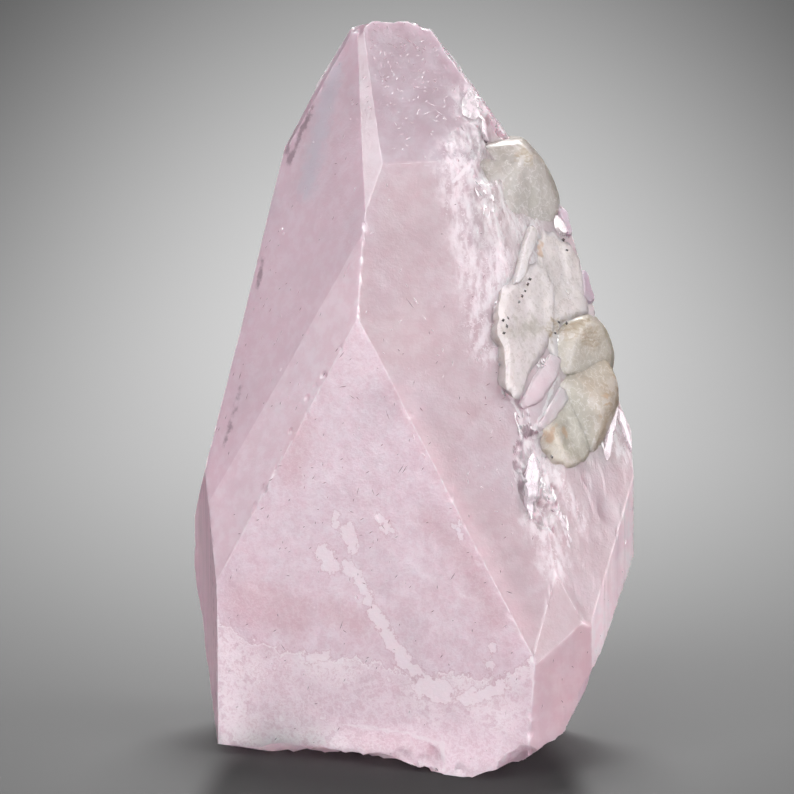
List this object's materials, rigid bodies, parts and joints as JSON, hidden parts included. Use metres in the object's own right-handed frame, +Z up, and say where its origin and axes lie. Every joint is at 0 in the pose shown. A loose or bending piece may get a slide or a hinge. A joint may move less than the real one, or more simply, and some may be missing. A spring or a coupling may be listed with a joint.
{
  "type": "morganite crystal",
  "caption": "Natural pink beryl crystal, faceted and part broken, with grey-green quartz grown into one flank, standing on a flat broken foot.",
  "frame": {"origin": "on the surface that the foot rests on, under the middle of the bounding box", "axes": "+Z up along the crystal's length, +X to the right of the broad front face, -Y towards the viewer of that face"},
  "size_m": [0.0598, 0.0482, 0.0974],
  "materials": {
    "morganite": "translucent pale pink crystal, softly etched faces with glassy breaks",
    "quartz": "translucent grey-green, with a rusty skin at its rim",
    "veil": "white cleavage flakes and healed cracks, silky"
  },
  "bodies": {
    "root": {"morganite_crystal": "morganite"}
  },
  "joints": []
}
